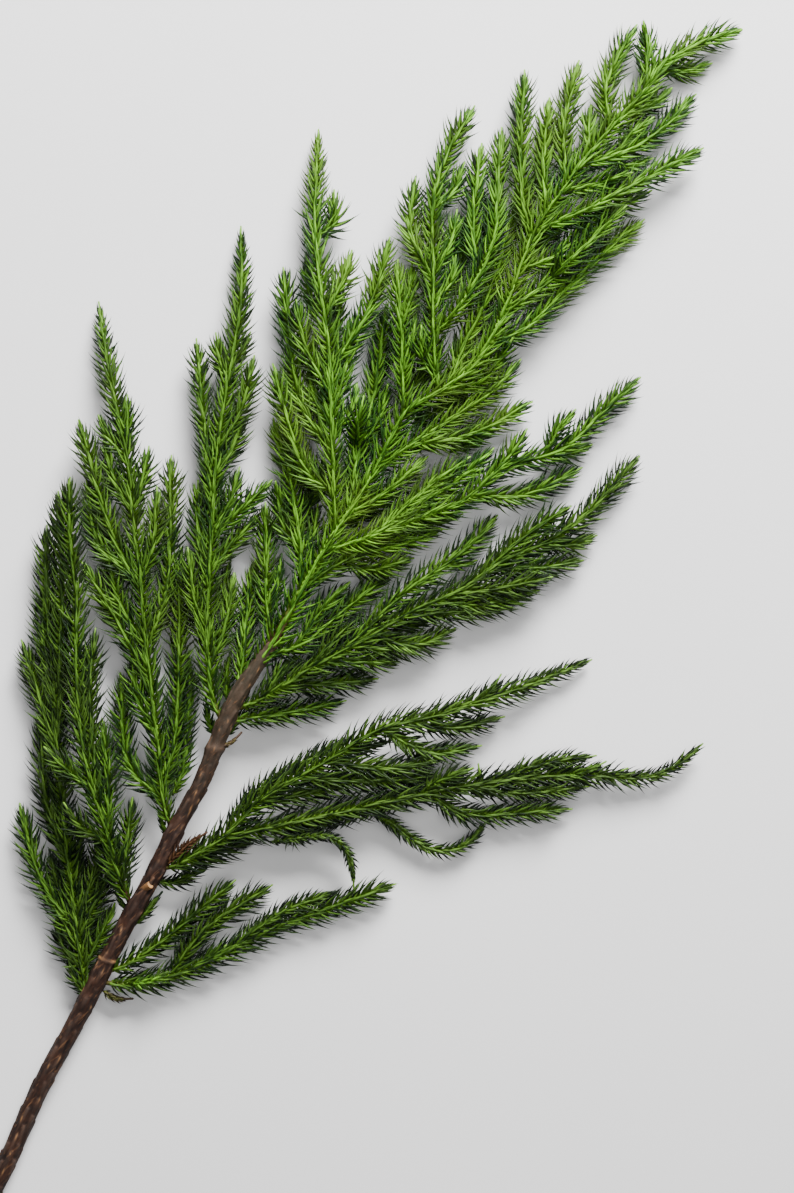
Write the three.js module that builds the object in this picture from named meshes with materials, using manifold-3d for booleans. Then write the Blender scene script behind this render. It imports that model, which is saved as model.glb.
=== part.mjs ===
// A cut pine branch lying flat: a woody stem, the green leader that carries it on, and the needled limbs
// and twigs that fork from them. Millimetres, +Z up. The routes are laid out on a sheet, x to the right and
// y down the sheet, with z the height of the axis above the table.
import * as THREE from "three";
import { mergeVertices } from "three/addons/utils/BufferGeometryUtils.js";
import Module from "manifold-3d";

const wasm = await Module();
wasm.setup();

// Driving dimensions
const NEEDLE_REACH = 7.8; // from a twig's axis to the tips of its needles
const CORE_SHARE = 0.62; // depth of the foliage between two tiers of needles, as a share of the reach
const TIER_PITCH = 32; // tiers of needles along a twig
const RANKS = 4; // needles stand in four ranks round a twig
const RANK_TWIST = 0.02; // turn of the ranks, radians per millimetre of twig
const TWIG_ROOT = 1.4; // bare radius where a twig leaves what carries it
const SWELL = 10; // length over which a twig swells to its full reach
const TAPER = 18; // length over which a twig narrows to its tip
const TIP_SHARE = 0.5; // reach of the last needles, as a share of the full reach
const STEM_RADIUS = 5; // at the cut end
const STEM_TOP_RADIUS = 4; // where the bark ends and the green leader begins
const STEM_SIDES = 10;
const STEM_RING = 11; // spacing of the stem's rings
const FORK_SWELL = 0.9; // extra radius of the knot at each fork
const FORK_LENGTH = 8; // half length of that knot
const GAP = 0.35; // air between neighbouring pieces
const CROSSING = 7.5; // height of one axis over another where they cross
const OVER_WOOD = 3.5; // height of an axis over the surface of the stem or leader that it crosses
const SLOPE = 0.7; // steepest climb of a twig over another
const STEP = 4; // spacing of the points along a twig
const BARK_END = 320; // y on the sheet where the bark ends
const SLIVER = 0.05; // edges shorter than this are closed up after a join

// The main axis from the cut end to the tip of the branch
const AXIS = [[-7, 601.5, 5.2], [4, 579, 5.4], [19, 545.5, 6.2], [35.5, 515, 7.5], [48.5, 490, 9],
  [63.5, 461, 11], [75.5, 440, 13], [90, 411, 14.5], [101, 391, 16], [109, 371, 17], [118, 350, 18],
  [130.5, 330, 18.5], [137.5, 320, 19], [151.5, 294, 19.5], [167.5, 266, 20], [185, 240, 20],
  [201.5, 208.5, 20], [218.5, 197, 20], [234, 186, 19.5], [245, 170, 19], [253.5, 151.5, 18.7],
  [261, 131, 18.3], [270, 111, 18], [281, 96, 17], [290, 82.5, 16], [306, 64, 15], [322.5, 45, 13.5],
  [331, 32.5, 12], [350, 21, 9.5], [371.5, 13.5, 6.5]];

// Limbs and twigs, each with the piece that carries it and its route of [x, y, z]. A small twig grown on a
// limb is [height of its tip, [x, y] of its root, of the way and of its tip].
const LIMBS = [
  // Left of the stem, from the cut end upwards
  { name: "limb_left_1", on: "stem",
    route: [[43, 500.5, 9], [40, 477.5, 10], [36, 445, 11], [32, 410, 12], [28.5, 370, 12], [26, 330, 11],
      [23, 295, 10], [23, 262.5, 9]],
    twigs: [[7, [34, 465], [20, 440], [9, 402]], [8, [28, 380], [20, 350], [10, 320]],
      [19, [28.5, 370], [31.5, 300], [30, 246]], [8, [33, 435], [23, 400], [20, 358]],
      [8, [37, 460], [46, 440], [51, 416]], [9, [28, 350], [22, 320], [22, 292.5]],
      [9, [39, 467.5], [48, 450], [56, 434]], [7, [40, 477.5], [30, 457.5], [24, 437.5]],
      [6, [42, 492], [33, 478], [27, 460]], [8, [41, 485], [50, 468], [57, 452]]] },
  { name: "limb_left_2", on: "stem",
    route: [[66.5, 454, 12], [60.5, 440, 16], [55, 417.5, 20], [48, 395, 22], [42, 367.5, 21.5],
      [39.5, 335, 21], [39, 300, 18], [36.5, 270, 15], [36, 239, 12]],
    twigs: [[14, [61, 442.5], [64, 420], [66.5, 398.5]], [20, [55, 417.5], [55, 387.5], [52, 359]],
      [26, [48, 395], [37.5, 386], [24, 372.5]], [18, [50, 400], [46, 350], [48.5, 314]],
      [28, [55, 422.5], [42.5, 412.5], [34, 400]], [16, [42, 370], [41, 345], [45, 322.5]],
      [14, [61, 442.5], [54, 427.5], [53, 411]]] },
  { name: "limb_left_3", on: "stem",
    route: [[86, 415, 14], [82, 400, 17], [80, 375, 17.5], [77, 350, 18], [73.5, 320, 18], [71, 290, 18],
      [67, 257.5, 16.5], [63.5, 227.5, 15], [56.5, 195, 12], [52, 172.5, 8.5], [48.5, 150, 5]],
    twigs: [[10, [80.5, 398.5], [64, 380], [60, 336.5]], [12, [82, 395], [88.5, 360], [90.5, 274]],
      [14, [76, 345], [59, 310], [41, 281]], [10, [74, 322.5], [84, 290], [85.5, 227.5]],
      [14, [71, 297.5], [56, 265], [39.5, 210]], [17, [71, 290], [77.5, 270], [79, 243.5]],
      [12, [66, 255], [71.5, 240], [74.5, 223]], [12, [63, 227.5], [55, 220], [49, 207.5]],
      [14, [63.5, 227.5], [64, 212.5], [64, 197.5]], [13, [74, 325], [60, 300], [54, 274]],
      [15, [78.5, 367.5], [70, 350], [66, 327.5]], [11, [70, 292], [50, 272], [43, 240]],
      [12, [67, 257.5], [57.5, 240], [52, 220]]] },
  { name: "limb_left_4", on: "stem",
    route: [[111, 361, 17], [106, 345, 18], [104.5, 320, 18], [105, 292.5, 18], [106.5, 260, 17],
      [108.5, 227.5, 16], [112.5, 200, 14], [117, 175, 12], [120.5, 145, 8.5], [120, 112, 5]],
    twigs: [[20, [104.5, 325], [98, 300], [94.5, 274]], [12, [105, 335], [113, 312.5], [117, 286.5]],
      [10, [106, 287.5], [116, 272.5], [131, 256]], [14, [106.5, 267.5], [114.5, 252.5], [120, 233.5]],
      [10, [106.5, 255], [102, 210], [98, 169]], [10, [109.5, 225], [120.5, 205], [127, 177.5]],
      [14, [114, 192.5], [110, 180], [108, 166.5]], [8, [116, 182.5], [121.5, 175], [125, 165.5]],
      [12, [106.5, 270], [120, 256], [136, 240]], [12, [106, 295], [100, 270], [99, 240]],
      [12, [107.5, 240], [116, 225], [122, 208]]] },
  { name: "twig_left_5", on: "stem",
    route: [[120, 347.5, 18], [122, 325, 15], [124, 302.5, 12], [127.5, 280, 9]] },
  { name: "twig_left_6", on: "stem",
    route: [[135, 322.5, 19], [133.5, 300, 16], [133, 277.5, 13], [133, 251.5, 10]] },
  // Left of the leader
  { name: "limb_left_7", on: "leader",
    route: [[151.5, 294, 18], [149.5, 267.5, 15], [145, 237.5, 12], [136.5, 209, 9]],
    twigs: [[10, [150, 285], [142.5, 265], [138, 241]], [13, [151, 288], [156, 270], [159, 252]]] },
  { name: "limb_left_8", on: "leader",
    route: [[167.5, 266, 20], [166.5, 220, 23], [165, 180, 21], [160.5, 145, 19], [157.5, 112.5, 13.5],
      [159, 63.5, 5.5]],
    twigs: [[17, [166, 257.5], [151.5, 232.5], [136.5, 182.5]],
      [11, [165.5, 225], [149.5, 197.5], [141.5, 133.5]], [20, [165, 197.5], [153.5, 175], [148.5, 151]],
      [17, [166.5, 220], [176, 206], [178.5, 192]], [12, [165.5, 186], [184.5, 155], [195, 118.5]],
      [12, [163.5, 159], [171.5, 141.5], [176, 125]], [10, [161, 118], [166.5, 112.5], [167, 94.5]],
      [14, [165.5, 210], [172.5, 185], [176, 159]], [14, [166.5, 252], [158, 241], [153.5, 223]],
      [12, [165, 215], [158, 200], [154, 183]]] },
  { name: "limb_left_9", on: "leader",
    route: [[175, 254, 19], [179, 227.5, 15], [186, 200, 12], [194, 151, 8]],
    twigs: [[14, [177.5, 235], [179, 215], [182, 199]], [13, [179, 227.5], [189, 210], [194, 192]]] },
  { name: "limb_left_10", on: "leader",
    route: [[201.5, 208.5, 20], [201, 175, 21], [199, 145, 20.5], [199, 131, 20]],
    twigs: [[18, [201, 190], [206, 172.5], [207, 156]], [17, [200, 165], [205, 150], [206, 132]]] },
  { name: "limb_left_11", on: "leader",
    route: [[218.5, 197, 20], [216.5, 167.5, 22], [216.5, 135, 20], [216.5, 102.5, 18], [223.5, 77.5, 13],
      [237.5, 52, 8]],
    twigs: [[12, [216.5, 140], [205.5, 117.5], [208, 88]], [14, [216.5, 136], [225, 122.5], [228.5, 105]],
      [10, [216.5, 104], [226, 97], [232.5, 80.5]], [18, [217.5, 190], [211.5, 181], [210.5, 164]],
      [18, [216.5, 155], [225, 143], [228, 127]]] },
  { name: "limb_left_12", on: "limb_left_11",
    route: [[217, 169, 22], [230, 154, 26], [241, 135, 25], [247, 117.5, 24], [248.5, 95, 17],
      [251, 63, 9]],
    twigs: [[9, [237.5, 141.5], [236.5, 110], [241, 71]]] },
  { name: "twig_left_13", on: "leader",
    route: [[265, 120, 18], [261, 100, 16], [260.5, 70, 12], [262.5, 34, 8]] },
  { name: "twig_left_14", on: "leader", route: [[274, 106.5, 17.5], [271.5, 82.5, 13], [275, 48, 8]] },
  { name: "twig_left_15", on: "leader",
    route: [[284, 92.5, 16.5], [281.5, 70, 13], [285, 47.5, 10], [290, 29, 7]] },
  { name: "twig_left_16", on: "leader", route: [[295, 77.5, 15.5], [294, 65, 12], [296, 51.5, 8]] },
  { name: "limb_left_17", on: "leader",
    route: [[305, 65, 15], [302.5, 46, 12], [309, 28.5, 9], [319, 11, 7]] },
  { name: "twig_left_18", on: "leader",
    route: [[324, 44, 13], [325.5, 31, 11], [321.5, 11, 8]],
    twigs: [[9, [325.5, 31], [328, 24], [328, 19]]] },
  // Right of the stem, from the cut end upwards
  { name: "limb_right_1", on: "stem",
    route: [[49, 492.5, 9], [62.5, 492.5, 9], [77.5, 490.5, 8.5], [95, 485, 8], [115, 475.5, 8],
      [140, 463, 7.5], [165, 454.5, 7], [198, 442.5, 7]],
    twigs: [[7, [82.5, 487.5], [102.5, 465], [136, 443]], [9, [97.5, 481.5], [106, 477.5], [113, 473]]] },
  { name: "twig_right_2", on: "stem",
    route: [[53, 487.5, 10], [67.5, 480, 10], [85, 467.5, 9], [117.5, 440.5, 8]] },
  { name: "limb_right_3", on: "stem",
    route: [[80, 436, 13], [95, 429, 16], [112.5, 417.5, 17.5], [131, 399, 19], [160, 382, 19],
      [190, 364.5, 18], [215, 358.5, 15.5], [240, 350.5, 13], [265, 342.5, 9], [296.5, 330, 5]],
    twigs: [[14, [239, 353], [245, 346], [250.5, 337]], [8, [202.5, 365], [227.5, 364], [252.5, 358.5]],
      [9, [190, 368.5], [215, 376], [241, 373]], [12, [165, 384], [195, 384], [221.5, 379]],
      [12, [130, 402.5], [152.5, 396.5], [181, 388.5]], [9, [150, 393.5], [185, 390.5], [220, 388]],
      [9, [88, 432], [104, 427.5], [127, 420]]] },
  { name: "limb_right_4", on: "limb_right_3",
    route: [[112.5, 419, 16], [140, 411, 16], [170, 402.5, 15], [200, 398.5, 14], [230, 393.5, 12],
      [265, 389, 10], [295, 388, 8.5], [320, 389.5, 7], [336, 385, 7.5], [352, 372, 8]],
    twigs: [[7, [197.5, 400], [235, 407.5], [286.5, 405]],
      [9, [247.5, 391.5], [270, 382.5], [298.5, 378]], [14, [277.5, 389], [292.5, 386], [303, 380.5]],
      [12, [300, 388.5], [307.5, 387], [314, 384]], [16, [241, 392.5], [240, 387.5], [239, 381.5]],
      [17, [195, 398.5], [215, 392.5], [236.5, 383.5]],
      [7, [195, 402.5], [207.5, 417.5], [222.5, 425], [244.5, 409]],
      [16, [145, 414], [162.5, 418.5], [172.5, 431], [177, 444]],
      [9, [124, 415], [145, 418], [165, 416.5]], [8, [230, 394.5], [262, 396.5], [295, 393.5]]] },
  { name: "limb_right_5", on: "stem",
    route: [[116, 357.5, 17.5], [131, 349, 18], [155, 334, 19], [180, 321, 18], [205, 306, 17],
      [230, 295, 15.5], [250, 281.5, 14], [270, 272.5, 12], [290, 260, 10], [306, 244, 7.5],
      [320.5, 227.5, 5]],
    twigs: [[10, [160, 332], [180, 331], [200, 331]], [9, [187.5, 320], [207.5, 322.5], [228, 314]],
      [8, [205, 307.5], [230, 306], [262.5, 297]], [16, [225, 297.5], [250, 294], [276, 288.5]],
      [8, [247.5, 285], [270, 284], [292, 280]], [7, [270, 273.5], [285, 272.5], [299, 267.5]],
      [14, [239, 290], [260, 270], [285.5, 253]], [9, [176, 322.5], [196, 324], [215, 320]],
      [10, [218, 302.5], [240, 302], [270, 295]], [14, [133, 348], [139, 337], [150, 328]],
      [14, [155, 334], [168, 319], [181, 307.5]]] },
  { name: "limb_right_6", on: "limb_right_5",
    route: [[172.5, 325, 18], [192.5, 303.5, 16], [215, 287.5, 13], [234, 273.5, 10.5], [249, 257.5, 8]],
    twigs: [[7, [222.5, 284], [231, 282.5], [238.5, 280]]] },
  { name: "twig_right_7", on: "stem",
    route: [[113, 361, 17], [130, 358, 14], [150, 355.5, 10], [173, 350.5, 7]] },
  { name: "twig_right_8", on: "limb_right_5",
    route: [[140, 343.5, 18], [162.5, 342, 12], [189, 339.5, 8]] },
  { name: "twig_right_9", on: "stem",
    route: [[133, 327.5, 19], [150, 322.5, 17], [167.5, 309, 14], [196, 286, 10]],
    twigs: [[13, [150, 322.5], [160, 306], [175, 291]]] },
  // Right of the leader
  { name: "limb_right_10", on: "leader",
    route: [[151.5, 294, 19.5], [165, 285, 18.5], [185, 272.5, 16], [207.5, 264, 14], [231.5, 257, 12]],
    twigs: [[9, [160, 288], [185, 285], [207, 279]], [11, [175, 279], [200, 272], [221, 265]]] },
  { name: "limb_right_11", on: "leader",
    route: [[162.5, 275, 20], [185, 268.5, 20], [207.5, 253.5, 17], [227.5, 241, 14], [247, 224, 11]],
    twigs: [[15, [190, 265], [210, 247], [235, 228.5]]] },
  { name: "limb_right_12", on: "limb_right_11",
    route: [[187.5, 266.5, 19], [215, 257, 17], [233, 250, 15], [250, 235, 13], [272.5, 228, 11],
      [286, 221, 10], [302.5, 205, 7.5], [321, 188, 5]],
    twigs: [[14, [245, 240], [255, 227.5], [263.5, 214.5]], [11, [273, 228], [278, 216], [288, 204.5]],
      [8, [272.5, 228.5], [285, 226.5], [296.5, 222]], [7, [235, 249], [262.5, 247.5], [291.5, 233.5]]] },
  { name: "twig_right_13", on: "leader",
    route: [[172.5, 259, 20], [188, 251, 21], [202.5, 238, 20], [214, 228.5, 18]] },
  { name: "limb_right_14", on: "leader",
    route: [[188, 235, 20], [210, 219.5, 18], [228.5, 208, 15.5], [245, 196.5, 13.5], [260.5, 179.5, 11]],
    twigs: [[8, [205, 224], [235, 217.5], [266.5, 200.5]]] },
  { name: "limb_right_15", on: "leader",
    route: [[243.5, 172.5, 19], [261, 166, 15], [280, 147.5, 12], [300, 127.5, 8.5], [323, 108.5, 5]] },
  { name: "twig_right_16", on: "leader",
    route: [[259, 136, 18], [277.5, 129, 16.5], [300, 109, 14], [326, 95, 11]] },
  { name: "limb_right_17", on: "leader",
    route: [[267.5, 116, 18], [290, 107.5, 21], [315, 94, 17], [352, 73.5, 10]] },
  { name: "limb_right_18", on: "leader",
    route: [[289, 84, 16], [310, 77.5, 14], [330, 65, 10], [349, 45.5, 5]],
    twigs: [[12, [305, 79], [315, 67.5], [327, 58.5]], [9, [297, 82], [312, 84], [327, 78.5]]] },
  { name: "twig_right_19", on: "leader", route: [[310, 60, 15], [322.5, 56, 12], [336.5, 43, 8]] },
  { name: "twig_right_20", on: "leader",
    route: [[329, 36, 10], [340, 35, 5], [352, 31.5, 5], [357, 30, 5]] },
  // Small twigs close to the leader
  { name: "twig_right_21", on: "leader", route: [[252, 157, 18.5], [275, 140, 14], [312.5, 104, 9]] },
  { name: "twig_right_22", on: "leader", route: [[281, 97, 17], [297.5, 93.5, 14], [315, 88, 11]] },
  { name: "twig_left_23", on: "leader",
    route: [[226, 191.5, 19.5], [229, 178, 18], [239, 159, 16], [249.5, 131, 14], [254, 110, 12]] },
  { name: "twig_right_24", on: "leader",
    route: [[219, 198, 19], [238, 193, 14], [248, 182, 13], [256, 170, 12]] },
];

const { clamp, lerp, smoothstep } = THREE.MathUtils;
const plan = ([x, y, z = 0]) => new THREE.Vector3(x, -y, z);

// Points every STEP along a smooth curve through the given ones.
function spaced(through) {
  const curve = new THREE.CatmullRomCurve3(through, false, "catmullrom", 0.5);
  return curve.getSpacedPoints(Math.max(4, Math.round(curve.getLength() / STEP)));
}

// Distance along a run of points at each of them.
function distances(points) {
  let sum = 0;
  return points.map((p, i) => (i ? (sum += p.distanceTo(points[i - 1])) : 0));
}

function nearest(points, [x, y]) {
  const flat = points.map((p) => Math.hypot(p.x - x, p.y + y));
  return flat.indexOf(Math.min(...flat));
}

// Reach of the needles at a distance along a twig that stands free.
function freeReach(s, length, root) {
  const swell = lerp(root, NEEDLE_REACH, smoothstep(s, 0, SWELL));
  return swell * lerp(TIP_SHARE, 1, smoothstep(length - s, 0, TAPER));
}

// A run of points that belongs to a piece, lifted over the pieces already laid.
const runs = [];
function lay(piece, on, points, root) {
  for (let pass = 0; pass < 3; pass++) {
    for (const run of runs.filter((other) => other.piece !== piece && other.piece !== on)) {
      run.points.forEach((q, j) => {
        const room = run.wood ? run.reach[j] + OVER_WOOD : CROSSING;
        for (const p of points.slice(1)) {
          const flat = Math.hypot(p.x - q.x, p.y - q.y);
          const over = q.z + Math.sqrt(Math.max(0, room ** 2 - flat ** 2));
          if (p.distanceTo(q) < room - 1e-6) p.z = Math.max(p.z, over);
        }
      });
    }
    const climb = (p, q) => (p.z = Math.max(p.z, q.z - SLOPE * Math.hypot(p.x - q.x, p.y - q.y)));
    for (let i = points.length - 2; i > 0; i--) climb(points[i], points[i + 1]);
    for (let i = 2; i < points.length; i++) climb(points[i], points[i - 1]);
  }
  const along = distances(points);
  const reach = along.map((s) => freeReach(s, along.at(-1), root));
  runs.push({ piece, on, points, reach, root, room: points.map((p) => p.z), wood: piece === "leader" });
  return points;
}

// Leaves off the start of a run that lies inside the piece that carries it.
function clearOf(points, carrier) {
  const inside = (p) => carrier.some(({ points: axis, reach }) =>
    axis.some((q, j) => p.distanceTo(q) < reach[j] + TWIG_ROOT + GAP));
  const half = points.slice(0, Math.ceil(points.length / 2));
  return points.slice(half.findLastIndex(inside) + 1);
}

// Draws in the needles of a run so that they stay clear of the other pieces and of the table.
function drawIn(run) {
  run.room = run.points.map((p) => {
    let room = p.z;
    for (const other of runs) {
      if (other.piece === run.piece || other.on === run.piece) continue;
      other.points.forEach((q, j) => {
        const apart = p.distanceTo(q) - GAP;
        const carries = other.wood || other.piece === run.on;
        room = Math.min(room, carries ? apart - other.reach[j] : 0.48 * apart);
      });
    }
    return room;
  });
  run.reach = run.reach.map((free, i) => Math.min(free, run.room[i]));
}

// A lathe of [radius, distance] bent along a run of points, its section turning by twist per millimetre.
function bentLathe(profile, points, sides, twist) {
  const curve = new THREE.CatmullRomCurve3(points);
  const length = profile.at(-1)[1];
  const lathe = new THREE.LatheGeometry(profile.map(([r, s]) => new THREE.Vector2(r, s)), sides);
  const position = lathe.getAttribute("position");
  const up = new THREE.Vector3(0, 0, 1);
  for (let i = 0; i < position.count; i++) {
    const share = clamp(position.getY(i) / length, 0, 1);
    const tangent = curve.getTangentAt(share);
    const side = tangent.clone().cross(up).normalize();
    const top = side.clone().cross(tangent);
    const turn = twist * position.getY(i);
    const across = position.getX(i) * Math.cos(turn) - position.getZ(i) * Math.sin(turn);
    const above = position.getX(i) * Math.sin(turn) + position.getZ(i) * Math.cos(turn);
    const p = curve.getPointAt(share).addScaledVector(side, across).addScaledVector(top, above);
    position.setXYZ(i, p.x, p.y, p.z);
  }
  return lathe;
}

// A twig with tiers of needles that point forwards: a saw-toothed lathe of four ranks.
function needledTwig({ points, room, root }) {
  const along = distances(points);
  const length = along.at(-1);
  const tiers = Math.max(1, Math.round(length / TIER_PITCH));
  const rings = [[0, 1]];
  for (let tier = 1; tier <= tiers; tier++) {
    rings.push([(tier - 0.3) * length / tiers, 1]);
    if (tier < tiers) rings.push([tier * length / tiers, CORE_SHARE]);
  }
  const profile = rings.map(([s, share], i) => {
    const from = (rings[i - 1] ?? [0])[0] - STEP / 2;
    const to = (rings[i + 1] ?? [length])[0] + STEP / 2;
    const near = room.filter((r, j) => along[j] >= from && along[j] <= to);
    return [share * Math.min(freeReach(s, length, root), ...near), s];
  });
  return bentLathe([[0, 0], ...profile, [0, length]], points, RANKS, RANK_TWIST);
}

// The woody stem: a tapering rod that swells into a knot at each fork, cut off square at its lower end.
function stemRod(points, reach) {
  const along = distances(points);
  const rings = Math.round(along.at(-1) / STEM_RING);
  const profile = [];
  for (let ring = 0; ring <= rings; ring++) {
    const at = Math.round((ring / rings) * (points.length - 1));
    profile.push([reach[at], along[at]]);
  }
  return bentLathe([[0, 0], ...profile, [0, along.at(-1)]], points, STEM_SIDES, 0);
}

function solid(geometry) {
  geometry.deleteAttribute("normal");
  geometry.deleteAttribute("uv");
  const merged = mergeVertices(geometry, 1e-3);
  return new wasm.Manifold(new wasm.Mesh({ numProp: 3, vertProperties: merged.attributes.position.array,
    triVerts: new Uint32Array(merged.index.array) }));
}

// A named mesh of overlapping shapes joined into one, without the hollows and slivers that the join leaves.
function joinedMesh(name, geometries, color, roughness) {
  const skins = geometries.map(solid).reduce((sum, next) => sum.add(next)).simplify(SLIVER).decompose();
  const mesh = skins.reduce((a, b) => (a.volume() > b.volume() ? a : b)).getMesh();
  const geometry = new THREE.BufferGeometry();
  geometry.setAttribute("position", new THREE.BufferAttribute(mesh.vertProperties, 3));
  geometry.setIndex(new THREE.BufferAttribute(mesh.triVerts, 1));
  geometry.computeVertexNormals();
  const made = new THREE.Mesh(geometry, new THREE.MeshStandardMaterial({ color, roughness, metalness: 0 }));
  made.name = name;
  return made;
}

const branch = new THREE.Group();

// The stem, and the leader that carries it on
const axis = spaced(AXIS.map(plan));
const end = nearest(axis, [137.5, BARK_END]);
const stem = axis.slice(0, end + 1);
const leader = axis.slice(end);
leader[0] = leader[0].clone().lerp(leader[1], GAP / STEP);
const stemLength = distances(stem).at(-1);
const grown = LIMBS.filter(({ on }) => on === "stem");
const forks = grown.map(({ route }) => distances(stem)[nearest(stem, route[0])]);
const stemReach = distances(stem).map((s) => {
  const knot = Math.max(...forks.map((fork) => 1 - Math.abs(s - fork) / FORK_LENGTH));
  return lerp(STEM_RADIUS, STEM_TOP_RADIUS, s / stemLength) + FORK_SWELL * smoothstep(knot, 0, 1);
});
branch.add(joinedMesh("stem", [stemRod(stem, stemReach)], "#4a3226", 0.85));
runs.push({ piece: "stem", on: "", points: stem, reach: stemReach, wood: true });
lay("leader", "stem", leader, STEM_TOP_RADIUS - 0.4);

// The limbs and their twigs
for (const { name, on, route, twigs = [] } of LIMBS) {
  const carrier = runs.filter(({ piece, wood }) => piece === on || wood);
  const limb = lay(name, on, clearOf(spaced(route.map(plan)), carrier), TWIG_ROOT);
  for (const [tipHeight, start, ...way] of twigs) {
    const root = limb[nearest(limb, start)].clone();
    const through = way.map(([x, y], i) => plan([x, y, lerp(root.z, tipHeight, (i + 1) / way.length)]));
    lay(name, on, spaced([root, ...through]), TWIG_ROOT);
  }
}
runs.filter(({ wood }) => !wood).forEach(drawIn);
for (const name of ["leader", ...LIMBS.map((limb) => limb.name)]) {
  branch.add(joinedMesh(name, runs.filter(({ piece }) => piece === name).map(needledTwig), "#3f6a1e", 0.55));
}

// The origin under the middle of the branch, on the table
const box = new THREE.Box3().setFromObject(branch, true);
branch.position.set(-(box.min.x + box.max.x) / 2, -(box.min.y + box.max.y) / 2, -box.min.z);

export default branch;
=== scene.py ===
"""A cut pine branch lying on a pale table, seen from straight above.

The stem gets its bark, and every limb and twig its own curved needles, along the same routes as the solids.
"""
import math

import bmesh
import bpy
import numpy as np
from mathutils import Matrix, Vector


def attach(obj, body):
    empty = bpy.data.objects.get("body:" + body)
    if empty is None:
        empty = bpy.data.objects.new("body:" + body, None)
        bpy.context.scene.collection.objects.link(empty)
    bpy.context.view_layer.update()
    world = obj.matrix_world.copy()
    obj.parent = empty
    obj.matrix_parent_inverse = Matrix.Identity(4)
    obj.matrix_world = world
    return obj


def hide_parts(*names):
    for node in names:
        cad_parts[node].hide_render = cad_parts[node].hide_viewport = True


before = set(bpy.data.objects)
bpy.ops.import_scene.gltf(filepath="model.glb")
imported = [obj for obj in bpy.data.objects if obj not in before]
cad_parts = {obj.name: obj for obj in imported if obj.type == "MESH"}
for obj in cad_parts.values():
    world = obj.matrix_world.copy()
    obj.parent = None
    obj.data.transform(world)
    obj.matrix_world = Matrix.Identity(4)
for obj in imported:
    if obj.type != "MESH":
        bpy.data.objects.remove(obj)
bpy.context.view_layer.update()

MM = 0.001
rng = np.random.default_rng(7)

# Sizes of the branch, in millimetres, as in the solids
NEEDLE_REACH = 7.8  # from the middle of a twig to the tips of its needles
TWIG_ROOT = 1.4  # radius of a twig where it starts
SWELL = 10  # over this length a twig widens from its root
TAPER = 18  # over this length it narrows to its tip
TIP_SHARE = 0.5  # of its full width, at the tip
STEM_RADIUS = 5  # at the cut end
STEM_TOP_RADIUS = 4
LEADER_ROOT = STEM_TOP_RADIUS - 0.4
LEADER_START = 6  # how many points before the end of the bark the leader's rib starts
FORK_SWELL = 0.9  # how much the stem swells at a fork
FORK_LENGTH = 8
GAP = 0.35  # between two pieces
CROSSING = 7.5  # between the middles of two twigs that cross
OVER_WOOD = 3.5  # over the stem and the leader, past their own reach
SLOPE = 0.7  # steepest rise or fall of a twig
LIFT_ROUNDS = 3
STEP = 4  # between two points of a run
FEWEST_STEPS = 4
CURVE_SAMPLES = 201
BARK_END = (137.5, 320)  # where the green leader begins, on the layout sheet
SHEET_TO_TABLE = np.array([-180.1154, 307.1264, -0.2001])  # from the layout sheet to the branch's own origin

# Needles, in millimetres and degrees. A spread is the random part of the value above it.
NEEDLE_LENGTH = 12.1
LENGTH_SPREAD = 0.08
NEEDLE_WIDTH = 1.5
WIDTH_SPREAD = 0.1
NEEDLE_SPACING = 0.37  # from one needle to the next up the spiral
SPACING_SPREAD = 0.4
LAST_NEEDLE = 5  # from the last needle to the tip of its twig
DIVERGENCE = 135  # turn from one needle to the next, which gives eight ranks
TURN_SPREAD = 9
TOP_LEAN = 36  # how far the top needles lean out from the twig
SIDE_LEAN = 59
TIP_LEAN = 20  # of the last needles, which close into a tuft
LEAN_SPREAD = 5
BEND = 0.34  # how far a needle's tip bows in towards its twig, as a share of its length
BEND_SPREAD = 0.06
TUFT = np.array([3, 18])  # where the tuft is full and where it starts, before the tip
TUFT_WIDTH = 0.8  # share of the needles' width in the tuft
TWIG_THINNING = 18  # over this length before its tip a twig's needles get shorter
SLENDER = {"limb_left_3": 46, "limb_left_4": 46, "limb_left_8": 46, "limb_right_3": 60, "limb_right_4": 85}
TIP_LENGTH = 0.45  # share of the needles' length at the tip
FIRST_NEEDLES = 9  # over this length from its root a twig's needles get longer
ROOT_LENGTH = 0.6
RIDGE_LENGTH = 0.8  # share of the length for the needles along the top
RIDGE_FROM = 0.8  # how far up they point, as a sine
SUNK = 0.75  # where a needle starts, as a share of the rib's radius
CLEARANCE = 0.4  # needles lower than this over the table are pressed flat
PRESSED = 0.2
# Needle tone: the top needles are painted lighter and the under ones darker, as painted light and shade, with a
# random spread
TONE = 0.33  # how light a needle is
PAINTED_TOP_LIGHT = 0.4  # how much lighter the top ones are
TONE_SPREAD = 0.16
RIB_SIDES = 6
RIB_RADIUS = 0.75  # of a twig's green rib, at its root
LIMB_RIB_RADIUS = 1.25
TIP_RIB_RADIUS = 0.45
SPRIG_RIB_RADIUS = 0.6
RIB_TONE = 0.95
WOODY_FALL = 0.7  # how much darker a rib is where it is brown
RIB_SHARE = 0.05  # the part of a needle's length that ribs take their colour from
SPRIG_TONE = 0.4
SPRIG_SHARE = 0.3

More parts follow.
